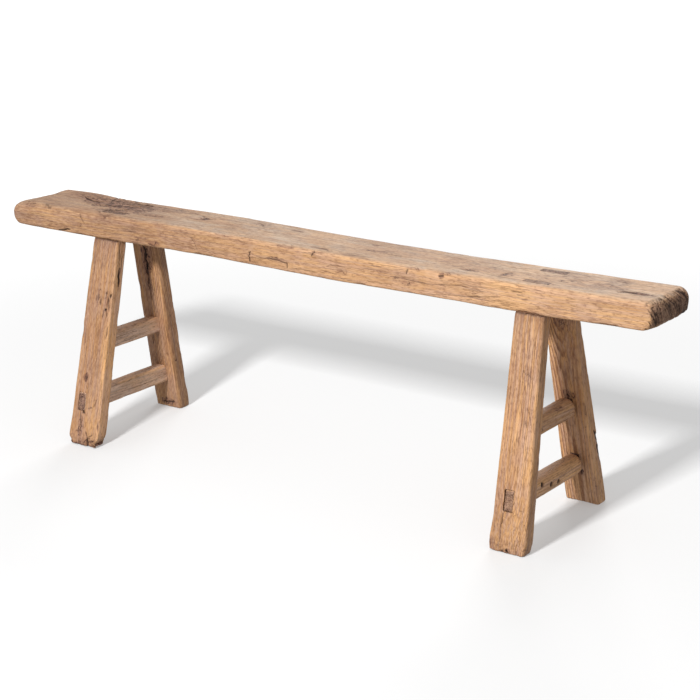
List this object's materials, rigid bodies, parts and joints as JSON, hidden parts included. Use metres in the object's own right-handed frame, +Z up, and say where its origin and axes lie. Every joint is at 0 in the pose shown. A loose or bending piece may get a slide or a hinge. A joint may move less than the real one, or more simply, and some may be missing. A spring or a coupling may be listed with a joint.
{
  "type": "backless bench",
  "caption": "Narrow backless bench of weathered wood: a thick plank seat on splayed wedged legs, each pair joined by two stretchers.",
  "frame": {"origin": "on the ground, under the centre of the bench's overall box", "axes": "+X along the seat's length, +Y from front to back, +Z up"},
  "size_m": [1.562, 0.342, 0.5],
  "materials": {
    "seat_wood": "old elm plank, worn and greyed on top, dry, unvarnished",
    "leg_wood": "old elm, hand-planed, dry and unvarnished, worn at the feet",
    "stretcher_wood": "old elm, darker and greyer, dry and unvarnished",
    "wedge_wood": "dark end grain, unvarnished"
  },
  "bodies": {
    "root": {"seat_plank": "seat_wood", "leg_front_left": "leg_wood", "leg_back_left": "leg_wood", "leg_front_right": "leg_wood", "leg_back_right": "leg_wood", "stretcher_upper_left": "stretcher_wood", "stretcher_lower_left": "stretcher_wood", "stretcher_upper_right": "stretcher_wood", "stretcher_lower_right": "stretcher_wood", "wedge_front_left": "wedge_wood", "wedge_back_left": "wedge_wood", "wedge_front_right": "wedge_wood", "wedge_back_right": "wedge_wood"}
  },
  "joints": []
}
